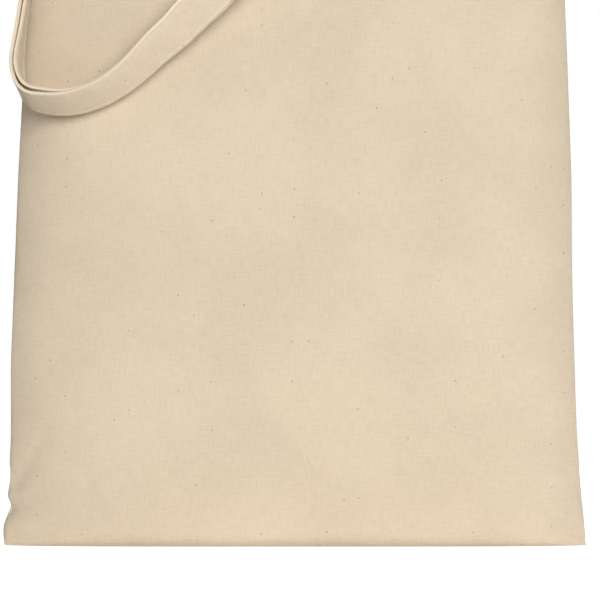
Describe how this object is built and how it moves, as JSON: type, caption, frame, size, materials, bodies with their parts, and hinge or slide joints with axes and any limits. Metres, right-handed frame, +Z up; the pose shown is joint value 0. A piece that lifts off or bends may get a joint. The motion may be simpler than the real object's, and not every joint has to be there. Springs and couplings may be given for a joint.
{
  "type": "canvas tote bag",
  "caption": "Plain open-topped cotton canvas tote bag with straight sewn sides and two webbing-width self-fabric handles.",
  "frame": {"origin": "on the surface the bag stands on, on the front panel's base, at the middle of the bag", "axes": "+X to the bag's right seen from the front, -Y out of the front, +Z up towards the mouth"},
  "size_m": [0.3792, 0.0756, 0.4239],
  "materials": {
    "canvas": "natural unbleached plain weave, matt",
    "strap": "folded natural canvas, matt",
    "thread": "cotton thread, slightly lighter than the canvas"
  },
  "bodies": {
    "bag": {"front_panel": "canvas", "back_panel": "canvas", "front_hem": "canvas", "back_hem": "canvas", "left_side_seam": "canvas", "right_side_seam": "canvas", "bottom_seam": "canvas", "front_handle_left_end": "strap", "front_handle_right_end": "strap", "back_handle_left_end": "strap", "back_handle_right_end": "strap", "left_seam_overlock": "thread", "right_seam_overlock": "thread", "bottom_seam_overlock": "thread", "front_hem_stitching": "thread", "back_hem_stitching": "thread", "front_left_box_stitch": "thread", "front_right_box_stitch": "thread", "back_left_box_stitch": "thread", "back_right_box_stitch": "thread"},
    "back_handle": {"back_handle": "strap", "back_handle_inner_stitching": "thread", "back_handle_outer_stitching": "thread"},
    "front_handle": {"front_handle": "strap", "front_handle_inner_stitching": "thread", "front_handle_outer_stitching": "thread"}
  },
  "joints": [
    {"name": "back_handle_lift", "type": "hinge", "parent": "bag", "child": "back_handle", "pos_m": [0, -0.025, 0.419], "axis": [-1, 0, 0], "range_deg": [0, 160]},
    {"name": "front_handle_lift", "type": "hinge", "parent": "bag", "child": "front_handle", "pos_m": [0, -0.025, 0.419], "axis": [-1, 0, 0], "range_deg": [0, 160]}
  ],
  "couplings": [
    {"joint": "front_handle_lift", "follows": "back_handle_lift", "ratio": 1}
  ]
}
